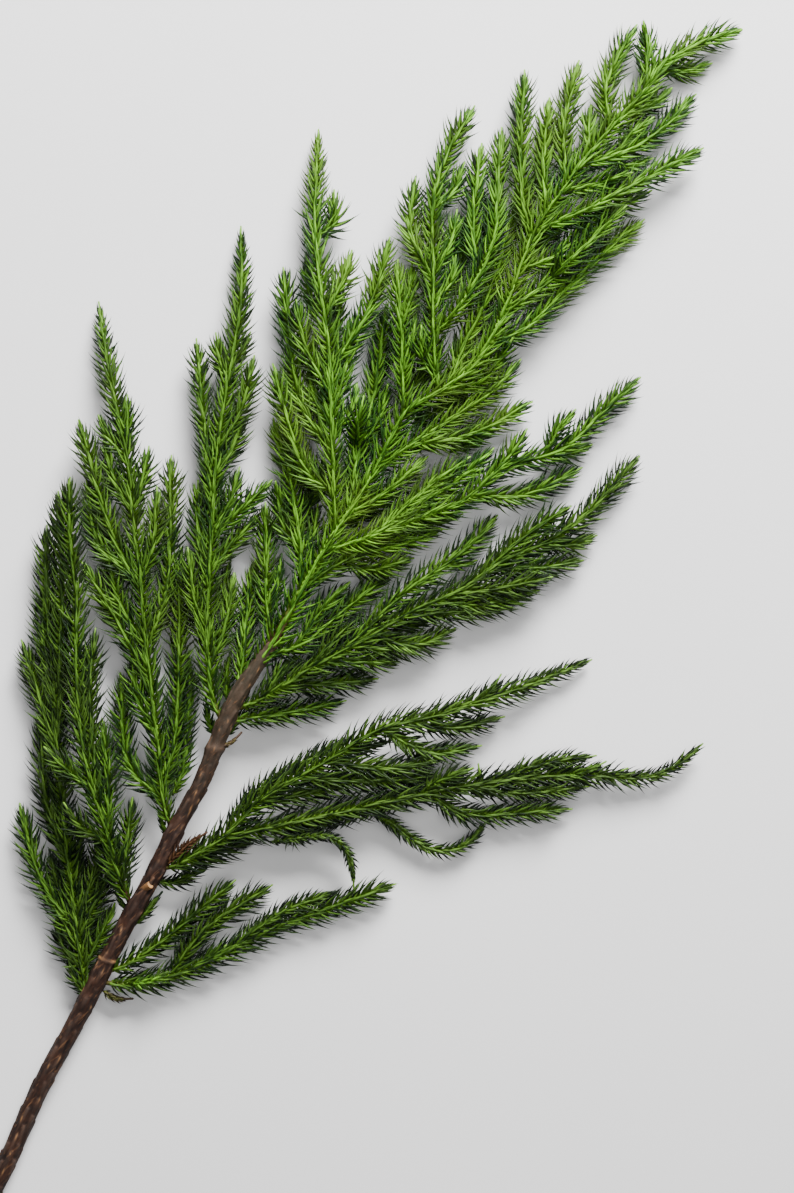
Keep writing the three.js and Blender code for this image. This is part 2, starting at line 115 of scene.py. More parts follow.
# The main axis from the cut end to the tip of the branch, as (x, y, z) on the layout sheet
AXIS = [(-7, 601.5, 5.2), (4, 579, 5.4), (19, 545.5, 6.2), (35.5, 515, 7.5), (48.5, 490, 9),
        (63.5, 461, 11), (75.5, 440, 13), (90, 411, 14.5), (101, 391, 16), (109, 371, 17),
        (118, 350, 18), (130.5, 330, 18.5), (137.5, 320, 19), (151.5, 294, 19.5), (167.5, 266, 20),
        (185, 240, 20), (201.5, 208.5, 20), (218.5, 197, 20), (234, 186, 19.5), (245, 170, 19),
        (253.5, 151.5, 18.7), (261, 131, 18.3), (270, 111, 18), (281, 96, 17), (290, 82.5, 16),
        (306, 64, 15), (322.5, 45, 13.5), (331, 32.5, 12), (350, 21, 9.5), (371.5, 13.5, 6.5)]

# Limbs and twigs: name, what carries it, its route, and its small twigs as tip height, root, way and tip
LIMBS = [
    # Left of the stem, from the cut end upwards
    ("limb_left_1", "stem",
     [(43, 500.5, 9), (40, 477.5, 10), (36, 445, 11), (32, 410, 12), (28.5, 370, 12), (26, 330, 11),
      (23, 295, 10), (23, 262.5, 9)],
     [(7, (34, 465), (20, 440), (9, 402)), (8, (28, 380), (20, 350), (10, 320)),
      (19, (28.5, 370), (31.5, 300), (30, 246)), (8, (33, 435), (23, 400), (20, 358)),
      (8, (37, 460), (46, 440), (51, 416)), (9, (28, 350), (22, 320), (22, 292.5)),
      (9, (39, 467.5), (48, 450), (56, 434)), (7, (40, 477.5), (30, 457.5), (24, 437.5)),
      (6, (42, 492), (33, 478), (27, 460)), (8, (41, 485), (50, 468), (57, 452))]),
    ("limb_left_2", "stem",
     [(66.5, 454, 12), (60.5, 440, 16), (55, 417.5, 20), (48, 395, 22), (42, 367.5, 21.5),
      (39.5, 335, 21), (39, 300, 18), (36.5, 270, 15), (36, 239, 12)],
     [(14, (61, 442.5), (64, 420), (66.5, 398.5)), (20, (55, 417.5), (55, 387.5), (52, 359)),
      (26, (48, 395), (37.5, 386), (24, 372.5)), (18, (50, 400), (46, 350), (48.5, 314)),
      (28, (55, 422.5), (42.5, 412.5), (34, 400)), (16, (42, 370), (41, 345), (45, 322.5)),
      (14, (61, 442.5), (54, 427.5), (53, 411))]),
    ("limb_left_3", "stem",
     [(86, 415, 14), (82, 400, 17), (80, 375, 17.5), (77, 350, 18), (73.5, 320, 18), (71, 290, 18),
      (67, 257.5, 16.5), (63.5, 227.5, 15), (56.5, 195, 12), (52, 172.5, 8.5), (48.5, 150, 5)],
     [(10, (80.5, 398.5), (64, 380), (60, 336.5)), (12, (82, 395), (88.5, 360), (90.5, 274)),
      (14, (76, 345), (59, 310), (41, 281)), (10, (74, 322.5), (84, 290), (85.5, 227.5)),
      (14, (71, 297.5), (56, 265), (39.5, 210)), (17, (71, 290), (77.5, 270), (79, 243.5)),
      (12, (66, 255), (71.5, 240), (74.5, 223)), (12, (63, 227.5), (55, 220), (49, 207.5)),
      (14, (63.5, 227.5), (64, 212.5), (64, 197.5)), (13, (74, 325), (60, 300), (54, 274)),
      (15, (78.5, 367.5), (70, 350), (66, 327.5)), (11, (70, 292), (50, 272), (43, 240)),
      (12, (67, 257.5), (57.5, 240), (52, 220))]),
    ("limb_left_4", "stem",
     [(111, 361, 17), (106, 345, 18), (104.5, 320, 18), (105, 292.5, 18), (106.5, 260, 17),
      (108.5, 227.5, 16), (112.5, 200, 14), (117, 175, 12), (120.5, 145, 8.5), (120, 112, 5)],
     [(20, (104.5, 325), (98, 300), (94.5, 274)), (12, (105, 335), (113, 312.5), (117, 286.5)),
      (10, (106, 287.5), (116, 272.5), (131, 256)), (14, (106.5, 267.5), (114.5, 252.5), (120, 233.5)),
      (10, (106.5, 255), (102, 210), (98, 169)), (10, (109.5, 225), (120.5, 205), (127, 177.5)),
      (14, (114, 192.5), (110, 180), (108, 166.5)), (8, (116, 182.5), (121.5, 175), (125, 165.5)),
      (12, (106.5, 270), (120, 256), (136, 240)), (12, (106, 295), (100, 270), (99, 240)),
      (12, (107.5, 240), (116, 225), (122, 208))]),
    ("twig_left_5", "stem",
     [(120, 347.5, 18), (122, 325, 15), (124, 302.5, 12), (127.5, 280, 9)],
     []),
    ("twig_left_6", "stem",
     [(135, 322.5, 19), (133.5, 300, 16), (133, 277.5, 13), (133, 251.5, 10)],
     []),
    # Left of the leader
    ("limb_left_7", "leader",
     [(151.5, 294, 18), (149.5, 267.5, 15), (145, 237.5, 12), (136.5, 209, 9)],
     [(10, (150, 285), (142.5, 265), (138, 241)), (13, (151, 288), (156, 270), (159, 252))]),
    ("limb_left_8", "leader",
     [(167.5, 266, 20), (166.5, 220, 23), (165, 180, 21), (160.5, 145, 19), (157.5, 112.5, 13.5),
      (159, 63.5, 5.5)],
     [(17, (166, 257.5), (151.5, 232.5), (136.5, 182.5)),
      (11, (165.5, 225), (149.5, 197.5), (141.5, 133.5)),
      (20, (165, 197.5), (153.5, 175), (148.5, 151)), (17, (166.5, 220), (176, 206), (178.5, 192)),
      (12, (165.5, 186), (184.5, 155), (195, 118.5)), (12, (163.5, 159), (171.5, 141.5), (176, 125)),
      (10, (161, 118), (166.5, 112.5), (167, 94.5)), (14, (165.5, 210), (172.5, 185), (176, 159)),
      (14, (166.5, 252), (158, 241), (153.5, 223)), (12, (165, 215), (158, 200), (154, 183))]),
    ("limb_left_9", "leader",
     [(175, 254, 19), (179, 227.5, 15), (186, 200, 12), (194, 151, 8)],
     [(14, (177.5, 235), (179, 215), (182, 199)), (13, (179, 227.5), (189, 210), (194, 192))]),
    ("limb_left_10", "leader",
     [(201.5, 208.5, 20), (201, 175, 21), (199, 145, 20.5), (199, 131, 20)],
     [(18, (201, 190), (206, 172.5), (207, 156)), (17, (200, 165), (205, 150), (206, 132))]),
    ("limb_left_11", "leader",
     [(218.5, 197, 20), (216.5, 167.5, 22), (216.5, 135, 20), (216.5, 102.5, 18), (223.5, 77.5, 13),
      (237.5, 52, 8)],
     [(12, (216.5, 140), (205.5, 117.5), (208, 88)), (14, (216.5, 136), (225, 122.5), (228.5, 105)),
      (10, (216.5, 104), (226, 97), (232.5, 80.5)), (18, (217.5, 190), (211.5, 181), (210.5, 164)),
      (18, (216.5, 155), (225, 143), (228, 127))]),
    ("limb_left_12", "limb_left_11",
     [(217, 169, 22), (230, 154, 26), (241, 135, 25), (247, 117.5, 24), (248.5, 95, 17), (251, 63, 9)],
     [(9, (237.5, 141.5), (236.5, 110), (241, 71))]),
    ("twig_left_13", "leader",
     [(265, 120, 18), (261, 100, 16), (260.5, 70, 12), (262.5, 34, 8)],
     []),
    ("twig_left_14", "leader",
     [(274, 106.5, 17.5), (271.5, 82.5, 13), (275, 48, 8)],
     []),
    ("twig_left_15", "leader",
     [(284, 92.5, 16.5), (281.5, 70, 13), (285, 47.5, 10), (290, 29, 7)],
     []),
    ("twig_left_16", "leader",
     [(295, 77.5, 15.5), (294, 65, 12), (296, 51.5, 8)],
     []),
    ("limb_left_17", "leader",
     [(305, 65, 15), (302.5, 46, 12), (309, 28.5, 9), (319, 11, 7)],
     []),
    ("twig_left_18", "leader",
     [(324, 44, 13), (325.5, 31, 11), (321.5, 11, 8)],
     [(9, (325.5, 31), (328, 24), (328, 19))]),
    # Right of the stem, from the cut end upwards
    ("limb_right_1", "stem",
     [(49, 492.5, 9), (62.5, 492.5, 9), (77.5, 490.5, 8.5), (95, 485, 8), (115, 475.5, 8),
      (140, 463, 7.5), (165, 454.5, 7), (198, 442.5, 7)],
     [(7, (82.5, 487.5), (102.5, 465), (136, 443)), (9, (97.5, 481.5), (106, 477.5), (113, 473))]),
    ("twig_right_2", "stem",
     [(53, 487.5, 10), (67.5, 480, 10), (85, 467.5, 9), (117.5, 440.5, 8)],
     []),
    ("limb_right_3", "stem",
     [(80, 436, 13), (95, 429, 16), (112.5, 417.5, 17.5), (131, 399, 19), (160, 382, 19),
      (190, 364.5, 18), (215, 358.5, 15.5), (240, 350.5, 13), (265, 342.5, 9), (296.5, 330, 5)],
     [(14, (239, 353), (245, 346), (250.5, 337)), (8, (202.5, 365), (227.5, 364), (252.5, 358.5)),
      (9, (190, 368.5), (215, 376), (241, 373)), (12, (165, 384), (195, 384), (221.5, 379)),
      (12, (130, 402.5), (152.5, 396.5), (181, 388.5)), (9, (150, 393.5), (185, 390.5), (220, 388)),
      (9, (88, 432), (104, 427.5), (127, 420))]),
    ("limb_right_4", "limb_right_3",
     [(112.5, 419, 16), (140, 411, 16), (170, 402.5, 15), (200, 398.5, 14), (230, 393.5, 12),
      (265, 389, 10), (295, 388, 8.5), (320, 389.5, 7), (336, 385, 7.5), (352, 372, 8)],
     [(7, (197.5, 400), (235, 407.5), (286.5, 405)), (9, (247.5, 391.5), (270, 382.5), (298.5, 378)),
      (14, (277.5, 389), (292.5, 386), (303, 380.5)), (12, (300, 388.5), (307.5, 387), (314, 384)),
      (16, (241, 392.5), (240, 387.5), (239, 381.5)), (17, (195, 398.5), (215, 392.5), (236.5, 383.5)),
      (7, (195, 402.5), (207.5, 417.5), (222.5, 425), (244.5, 409)),
      (16, (145, 414), (162.5, 418.5), (172.5, 431), (177, 444)),
      (9, (124, 415), (145, 418), (165, 416.5)), (8, (230, 394.5), (262, 396.5), (295, 393.5))]),
    ("limb_right_5", "stem",
     [(116, 357.5, 17.5), (131, 349, 18), (155, 334, 19), (180, 321, 18), (205, 306, 17),
      (230, 295, 15.5), (250, 281.5, 14), (270, 272.5, 12), (290, 260, 10), (306, 244, 7.5),
      (320.5, 227.5, 5)],
     [(10, (160, 332), (180, 331), (200, 331)), (9, (187.5, 320), (207.5, 322.5), (228, 314)),
      (8, (205, 307.5), (230, 306), (262.5, 297)), (16, (225, 297.5), (250, 294), (276, 288.5)),
      (8, (247.5, 285), (270, 284), (292, 280)), (7, (270, 273.5), (285, 272.5), (299, 267.5)),
      (14, (239, 290), (260, 270), (285.5, 253)), (9, (176, 322.5), (196, 324), (215, 320)),
      (10, (218, 302.5), (240, 302), (270, 295)), (14, (133, 348), (139, 337), (150, 328)),
      (14, (155, 334), (168, 319), (181, 307.5))]),
    ("limb_right_6", "limb_right_5",
     [(172.5, 325, 18), (192.5, 303.5, 16), (215, 287.5, 13), (234, 273.5, 10.5), (249, 257.5, 8)],
     [(7, (222.5, 284), (231, 282.5), (238.5, 280))]),
    ("twig_right_7", "stem",
     [(113, 361, 17), (130, 358, 14), (150, 355.5, 10), (173, 350.5, 7)],
     []),
    ("twig_right_8", "limb_right_5",
     [(140, 343.5, 18), (162.5, 342, 12), (189, 339.5, 8)],
     []),
    ("twig_right_9", "stem",
     [(133, 327.5, 19), (150, 322.5, 17), (167.5, 309, 14), (196, 286, 10)],
     [(13, (150, 322.5), (160, 306), (175, 291))]),
    # Right of the leader
    ("limb_right_10", "leader",
     [(151.5, 294, 19.5), (165, 285, 18.5), (185, 272.5, 16), (207.5, 264, 14), (231.5, 257, 12)],
     [(9, (160, 288), (185, 285), (207, 279)), (11, (175, 279), (200, 272), (221, 265))]),
    ("limb_right_11", "leader",
     [(162.5, 275, 20), (185, 268.5, 20), (207.5, 253.5, 17), (227.5, 241, 14), (247, 224, 11)],
     [(15, (190, 265), (210, 247), (235, 228.5))]),
    ("limb_right_12", "limb_right_11",
     [(187.5, 266.5, 19), (215, 257, 17), (233, 250, 15), (250, 235, 13), (272.5, 228, 11),
      (286, 221, 10), (302.5, 205, 7.5), (321, 188, 5)],
     [(14, (245, 240), (255, 227.5), (263.5, 214.5)), (11, (273, 228), (278, 216), (288, 204.5)),
      (8, (272.5, 228.5), (285, 226.5), (296.5, 222)),
      (7, (235, 249), (262.5, 247.5), (291.5, 233.5))]),
    ("twig_right_13", "leader",
     [(172.5, 259, 20), (188, 251, 21), (202.5, 238, 20), (214, 228.5, 18)],
     []),
    ("limb_right_14", "leader",
     [(188, 235, 20), (210, 219.5, 18), (228.5, 208, 15.5), (245, 196.5, 13.5), (260.5, 179.5, 11)],
     [(8, (205, 224), (235, 217.5), (266.5, 200.5))]),
    ("limb_right_15", "leader",
     [(243.5, 172.5, 19), (261, 166, 15), (280, 147.5, 12), (300, 127.5, 8.5), (323, 108.5, 5)],
     []),
    ("twig_right_16", "leader",
     [(259, 136, 18), (277.5, 129, 16.5), (300, 109, 14), (326, 95, 11)],
     []),
    ("limb_right_17", "leader",
     [(267.5, 116, 18), (290, 107.5, 21), (315, 94, 17), (352, 73.5, 10)],
     []),
    ("limb_right_18", "leader",
     [(289, 84, 16), (310, 77.5, 14), (330, 65, 10), (349, 45.5, 5)],
     [(12, (305, 79), (315, 67.5), (327, 58.5)), (9, (297, 82), (312, 84), (327, 78.5))]),
    ("twig_right_19", "leader",
     [(310, 60, 15), (322.5, 56, 12), (336.5, 43, 8)],
     []),
    ("twig_right_20", "leader",
     [(329, 36, 10), (340, 35, 5), (352, 31.5, 5), (357, 30, 5)],
     []),
    ("twig_right_21", "leader",
     [(252, 157, 18.5), (275, 140, 14), (312.5, 104, 9)],
     []),
    ("twig_right_22", "leader",
     [(281, 97, 17), (297.5, 93.5, 14), (315, 88, 11)],
     []),
    ("twig_left_23", "leader",
     [(226, 191.5, 19.5), (229, 178, 18), (239, 159, 16), (249.5, 131, 14), (254, 110, 12)],
     []),
    ("twig_right_24", "leader",
     [(219, 198, 19), (238, 193, 14), (248, 182, 13), (256, 170, 12)],
     []),
]

# How old and how shaded the needles look, from 0 for the bright green of the leader's shoots to 1 for the
# darkest limbs: partly the darker colour of older needles, partly painted shade on limbs that lie in less light
YOUNG_AND_LIT = 0.2
AGE_SPREAD = 0.1  # from one twig of a limb to the next
AGE_AND_SHADE = {"limb_left_1": 0.9, "limb_left_2": 0.85, "limb_left_3": 0.6, "limb_left_4": 0.55, "twig_left_5": 0.5,
       "twig_left_6": 0.35, "limb_left_7": 0.4, "limb_right_1": 0.9, "twig_right_2": 0.9, "limb_right_3": 1.0,
       "limb_right_4": 1.0, "limb_right_5": 0.8, "limb_right_6": 0.65, "twig_right_7": 0.75, "twig_right_8": 0.8,
       "twig_right_9": 0.55, "limb_right_10": 0.45, "limb_right_12": 0.4, "limb_right_15": 0.35}

# Where the needles start: on a limb, by what carries it, on a limb that forks from another, a twig and a sprig
BARE = {"stem": 7.0, "leader": 3.0}
FORK_BARE, TWIG_BARE, SPRIG_BARE = 2.5, 2.0, 1

# How far the base of a limb that grows from the stem is brown, from and to
WOODY_BASE = {"leader": (24, 60), "limb_left_2": (14, 40), "limb_left_3": (14, 38)}
SHORT_BASE = (4, 20)  # of the others
LEADER_RIB = np.array([[0, 20, 34, 70, 1000], [3.0, 2.9, 2.2, 1.3, 0.45]])  # distance and radius

# Short sprigs: carrier, route, length of their needles, how dry they are and their age with its painted shade
SPRIGS = [
    ("limb_right_3", [(84, 432, 15), (93, 423, 18), (104, 415.5, 19)], 0.5, 0.95, 1),
    ("limb_right_3", [(67, 463, 9), (74, 455, 10), (81, 446, 11)], 0.6, 0, 1),
    ("limb_right_1", [(66, 492, 12), (75, 490.5, 14), (84, 485.5, 14)], 0.7, 0, 0),
    ("twig_right_7", [(111, 373, 18), (116, 371, 17), (121, 366, 15)], 0.5, 0.7, 1),
    ("limb_left_1", [(44, 500, 8), (37, 490, 9), (33, 478, 9)], 0.7, 0, 1),
    ("limb_left_2", [(66, 458, 9), (61, 452, 11), (57, 446, 11)], 0.6, 0, 0.9),
    ("limb_right_1", [(51, 496, 8), (57, 500, 8), (66, 500, 8)], 0.5, 0.5, 1),
    ("limb_right_1", [(115, 475, 10), (140, 457, 10), (168, 446, 9)], 0.75, 0, 0.95),
    ("limb_right_3", [(77, 441, 9), (86, 441.5, 10), (97, 437, 11), (106, 431, 11)], 0.7, 0, 1),
    ("limb_right_3", [(115, 409, 14), (128, 396, 15), (145, 385, 15), (160, 377, 14), (176, 369, 13)],
     0.75, 0, 1),
    ("limb_right_3", [(172, 376, 12), (183, 374, 13), (196, 370, 12)], 0.7, 0, 1),
    ("limb_left_4", [(107, 368, 10), (104, 359, 12), (103, 348, 14)], 0.6, 0, 0.6),
    ("twig_right_7", [(113, 368, 12), (118, 362, 13), (122, 356, 13)], 0.6, 0, 0.8),
    ("limb_left_3", [(85, 420, 9), (81, 412, 11), (79, 404, 12)], 0.55, 0, 0.7),
    ("limb_left_3", [(86, 398, 10), (91, 385, 10), (93.5, 365, 10), (94.5, 345, 9), (94, 328, 8)],
     0.7, 0, 0.6),
    ("limb_left_8", [(158, 160, 10), (154, 145, 10), (153, 126, 10)], 0.7, 0, 0.2),
    ("limb_left_1", [(41, 480, 7), (44, 462, 8), (45, 440, 8)], 0.8, 0, 1),
    ("limb_left_1", [(36, 465, 7), (29, 445, 8), (24, 425, 8)], 0.8, 0, 1),
    ("limb_left_1", [(38, 455, 7), (38, 435, 8), (40, 415, 8)], 0.8, 0, 1),
    ("leader", [(137, 305, 12), (139, 292, 13), (141, 277, 13)], 0.7, 0, 0.3),
    # Shaded ones low under the others
    ("leader", [(200, 200, 9), (212, 187, 9), (221, 172, 9)], 1, 0, 0.7),
    ("leader", [(205, 214, 9), (219, 205, 9), (236, 193, 9)], 1, 0, 0.7),
    ("leader", [(150, 262, 7), (156, 248, 7), (161, 232, 7)], 1, 0, 0.6),
    ("leader", [(172, 263, 9), (186, 254, 9), (200, 246, 9)], 1, 0, 0.6),
    ("leader", [(250, 128, 8), (254, 115, 8), (258, 103, 8)], 1, 0, 0.4),
    ("leader", [(266, 126, 9), (275, 117, 9), (286, 110, 9)], 1, 0, 0.4),
    ("limb_left_8", [(167, 175, 8), (169, 155, 8), (166, 132, 8)], 0.8, 0, 0.4),
    ("limb_left_4", [(112, 305, 7), (112, 292, 7), (115, 280, 7)], 0.8, 0, 0.6),
    ("limb_left_4", [(113, 350, 8), (113, 338, 9), (115, 326, 9)], 0.8, 0, 0.6),
    ("limb_right_5", [(196, 316, 8), (208, 311, 8), (221, 308, 8)], 0.9, 0, 0.8),
    ("leader", [(228, 140, 8), (232, 122, 8), (236, 104, 8)], 1, 0, 0.4),
    ("leader", [(240, 120, 8), (246, 108, 8), (250, 92, 8)], 1, 0, 0.4),
    ("leader", [(256, 108, 8), (262, 98, 8), (268, 86, 8)], 1, 0, 0.4),
    ("limb_right_11", [(225, 226, 8), (238, 219, 8), (250, 214, 8)], 0.8, 0, 0.4)]

# Twigs with short needles: the share of the needles' length, by limb and the twig's number on it
SLIM = {"limb_left_4": {5: 0.85}, "limb_right_3": {1: 0.75, 2: 0.85, 3: 0.85},
        "limb_right_4": {1: 0.85, 2: 0.75, 3: 0.7, 4: 0.65, 5: 0.8, 7: 0.55, 8: 0.42, 9: 0.6, 10: 0.8}}

# Limbs with longer needles than the others
LUSH = {"limb_right_3": 1.06, "limb_right_4": 1.04, "limb_right_5": 1.06, "limb_left_8": 1.06, "leader": 1.06}

# Two thin twigs that hang in a wider arc than their solids, by limb and number
HANGING = {("limb_right_4", 7): [(186, 406, 11), (195, 411.5, 9), (203, 418, 8), (213, 424, 7),
                                 (223, 426, 7), (234, 422, 7), (244.5, 410, 7)],
           ("limb_right_4", 8): [(135, 421, 14), (150, 418.5, 16), (165, 418, 16), (173, 424.5, 15),
                                 (176, 434, 13), (177, 445, 11)]}

# Bark, in millimetres. Pairs are the smallest and the largest.
STEM_SIDES = 48
STEM_RINGS = 420
END_TAPER, END_LENGTH = 1.1, 22  # how much the bark thins towards the green leader, and over which length
KNOT_CUT = 0.5  # share of the solid's swelling at a fork that the bark leaves out
BARK_INSET = 0.35  # of the bark between its cushions
FIRST_CUSHION = 6
CUSHION_PITCH = 1.15  # from one leaf cushion to the next up the stem
PITCH_SPREAD = 0.4
CUSHION_TURN = 137.5  # from one to the next, in degrees
CUSHION_SWAY = 0.12  # in radians
CUSHION_SLANT = 0.3
CUSHION_LENGTH = (9, 17)
CUSHION_WIDTH = (1.1, 1.9)
CUSHION_HEIGHT = (0.3, 0.75)
CUSHION_END = 1.06  # where it has dropped off past its tip, as a share of its length
SCAR_SHARE = 0.3  # share of the cushions with a tan scar
SCAR_BELOW = 0.9  # from a cushion's tip to the middle of its scar
SCAR_LENGTH = (0.5, 2.6)
SCAR_WIDTH = (0.16, 0.34)
SCAR_TINT = (0.25, 0.9)

# Rings round the stem, an old bud ring and a swollen node: place on the sheet, height, width and tint
RINGS = (((51.5, 477.5), 0.5, 1.0, 0.9), ((107.5, 375), 0.7, 2.4, 0.1))
RING_TILT = 0.9
RING_EDGE, RING_EDGE_WIDTH = 0.6, 0.55  # the tan line above the ring's middle
RING_FADE = 0.45  # how much the line fades, in three places

# Stub of a side shoot
STUB_SIDES = 20
STUB_RADIUS, STUB_LENGTH = 1.9, 7.5
STUB_PLACE = (73, 443.5, 15.5)  # on the sheet, like the routes
STUB_AIM = (0.7, 0.45, 0.5)
STUB_INSETS = (0.3, 0.15)
STUB_EDGE = 0.35  # width of the bark round the cut face
STUB_CUT, STUB_SCAR = 0.3, 0.8  # how pale the cut face is and how tan the peg


# Routes

def evaluate(points, t):
    """Points of a smooth curve through the given ones, at shares t of its way."""
    last = len(points) - 1
    at = np.clip((t * last).astype(int), 0, last - 1)
    w = (t * last - at)[:, None]
    ends = np.vstack([2 * points[0] - points[1], points, 2 * points[-1] - points[-2]])
    p0, p1, p2, p3 = ends[at], ends[at + 1], ends[at + 2], ends[at + 3]
    slope_1, slope_2 = (p2 - p0) / 2, (p3 - p1) / 2
    return (p1 + slope_1 * w + (3 * (p2 - p1) - 2 * slope_1 - slope_2) * w ** 2
            + (2 * (p1 - p2) + slope_1 + slope_2) * w ** 3)


def distances(points):
    """How far along a run each of its points is."""
    return np.concatenate([[0], np.cumsum(np.linalg.norm(np.diff(points, axis=0), axis=1))])


def spaced(points):
    """Points every STEP along a smooth curve through the given ones."""
    points = np.array(points, float)
    t = np.linspace(0, 1, CURVE_SAMPLES)
    along = distances(evaluate(points, t))
    count = max(FEWEST_STEPS, math.floor(along[-1] / STEP + 0.5))
    return evaluate(points, np.interp(np.linspace(0, along[-1], count + 1), along, t))


def plan(route):
    """A route on the sheet, where y runs down, with y running up."""
    return [(x, -y, *z) for x, y, *z in route]


def on_table(points):
    """Points of a plan in metres on the table."""
    return (points + SHEET_TO_TABLE) * MM


def smoothstep(x, low, high):
    x = np.clip((np.asarray(x, float) - low) / (high - low), 0, 1)
    return x * x * (3 - 2 * x)


def nearest(points, place):
    """Number of the point that is nearest to a place on the sheet."""
    return int(np.argmin(np.hypot(points[:, 0] - place[0], points[:, 1] + place[1])))


def free_reach(along, root):
    """How far the needles of a solid reach out, along its run."""
    swell = root + (NEEDLE_REACH - root) * smoothstep(along, 0, SWELL)
    return swell * (TIP_SHARE + (1 - TIP_SHARE) * smoothstep(along[-1] - along, 0, TAPER))


runs = []


def lay(piece, on, points, root):
    """A run of points that belongs to a piece, lifted over the pieces already laid."""
    for _ in range(LIFT_ROUNDS):
        for run in runs:
            if run["piece"] in (piece, on):
                continue
            for q, reach in zip(run["points"], run["reach"]):
                room = reach + OVER_WOOD if run["wood"] else CROSSING
                flat = np.hypot(points[1:, 0] - q[0], points[1:, 1] - q[1])
                near = np.hypot(flat, points[1:, 2] - q[2]) < room - 1e-6
                over = q[2] + np.sqrt(np.maximum(room ** 2 - flat ** 2, 0))
                points[1:, 2] = np.where(near, np.maximum(points[1:, 2], over), points[1:, 2])
        steps = SLOPE * np.hypot(*np.diff(points[:, :2], axis=0).T)
        for i in range(len(points) - 2, 0, -1):
            points[i, 2] = max(points[i, 2], points[i + 1, 2] - steps[i])
        for i in range(2, len(points)):
            points[i, 2] = max(points[i, 2], points[i - 1, 2] - steps[i - 1])
    runs.append({"piece": piece, "on": on, "points": points, "reach": free_reach(distances(points), root),
                 "wood": piece == "leader", "twig": True})
    return points


def clear_of(points, carrier):
    """Leaves off the start of a run that lies inside the piece that carries it."""
    start = 0
    for i, p in enumerate(points[:math.ceil(len(points) / 2)]):
        for run in carrier:
            if np.any(np.linalg.norm(run["points"] - p, axis=1) < run["reach"] + TWIG_ROOT + GAP):
                start = i + 1
    return points[start:]


axis = spaced(plan(AXIS))
end = nearest(axis, BARK_END)
stem_run = axis[:end + 1].copy()
leader_run = axis[end:].copy()
leader_run[0] += (leader_run[1] - leader_run[0]) * GAP / STEP
stem_along = distances(stem_run)
forks = [stem_along[nearest(stem_run, route[0])] for _, on, route, _ in LIMBS if on == "stem"]


def fork_swell(s):
    """How much the stem swells at its forks, at distances s from the cut end."""
    knot = np.max([1 - np.abs(s - fork) / FORK_LENGTH for fork in forks], axis=0)
    return FORK_SWELL * smoothstep(knot, 0, 1)


def stem_radius(s):
    return STEM_RADIUS + (STEM_TOP_RADIUS - STEM_RADIUS) * s / stem_along[-1] + fork_swell(s)


runs.append({"piece": "stem", "on": "", "points": stem_run, "reach": stem_radius(stem_along), "wood": True})
lay("leader", "stem", leader_run, LEADER_ROOT)
runs[-1]["start"] = stem_run[-LEADER_START]
runs[-1]["twig"] = False
for name, on, route, twigs in LIMBS:
    carrier = [run for run in runs if run["piece"] == on or run["wood"]]
    carried = np.vstack([run["points"] for run in carrier if run["piece"] == on])
    limb = lay(name, on, clear_of(spaced(plan(route)), carrier), TWIG_ROOT)
    runs[-1]["start"] = carried[nearest(carried, route[0])]
    runs[-1]["twig"] = False
    for tip_height, root, *way in twigs:
        start = limb[nearest(limb, root)]
        heights = [start[2] + (tip_height - start[2]) * (i + 1) / len(way) for i in range(len(way))]
        lay(name, on, spaced([start] + [(x, -y, z) for (x, y), z in zip(way, heights)]), TWIG_ROOT)
for run in runs:
    run["points"] = on_table(run["points"])
    if "start" in run:
        run["start"] = on_table(run["start"])


# Materials

def linear(hex_colour):
    """An sRGB hex colour as linear RGBA."""
    parts = [int(hex_colour[i:i + 2], 16) / 255 for i in (1, 3, 5)]
    return (*[c / 12.92 if c <= 0.04045 else ((c + 0.055) / 1.055) ** 2.4 for c in parts], 1)


def new_material(name):
    material = bpy.data.materials.new(name)
    material.use_nodes = True
    tree = material.node_tree
    return material, tree, tree.nodes["Principled BSDF"]


def add(tree, kind, settings=None, values=None, links=None):
    """Adds a node, with its settings, its socket values and the sockets that feed it."""
    node = tree.nodes.new(kind)
    for key, value in (settings or {}).items():
        setattr(node, key, value)
    for key, value in (values or {}).items():
        node.inputs[key].default_value = value
    for key, source in (links or {}).items():
        tree.links.new(source, node.inputs[key])
    return node


def mix(tree, share, a, b):
    """Mixes two colours, each a hex value or a socket."""
    node = add(tree, "ShaderNodeMix", {"data_type": "RGBA"})
    for socket, source in ((node.inputs[0], share), (node.inputs[6], a), (node.inputs[7], b)):
        if isinstance(source, str):
            socket.default_value = linear(source)
        else:
            tree.links.new(source, socket)
    return node.outputs[2]


def span(tree, value, low, high, to_low=0.0, to_high=1.0):
    """Maps a value from one range to another."""
    ends = {"From Min": low, "From Max": high, "To Min": to_low, "To Max": to_high}
    return add(tree, "ShaderNodeMapRange", values=ends, links={"Value": value}).outputs[0]


def attribute(tree, name):
    return add(tree, "ShaderNodeAttribute", {"attribute_name": name}).outputs["Fac"]


def noise(tree, vector, size, detail, roughness=0.5):
    """Noise with spots of about this size, in metres."""
    return add(tree, "ShaderNodeTexNoise", values={"Scale": 1 / size, "Detail": detail, "Roughness": roughness},
               links={"Vector": vector}).outputs["Fac"]


def stretched(tree, vector, heading, stretch):
    """Coordinates that draw a pattern out along a heading on the table, in degrees."""
    return add(tree, "ShaderNodeMapping", {"vector_type": "TEXTURE"},
               {"Rotation": (0, 0, math.radians(heading)), "Scale": (stretch, 1, 1)},
               {"Vector": vector}).outputs["Vector"]


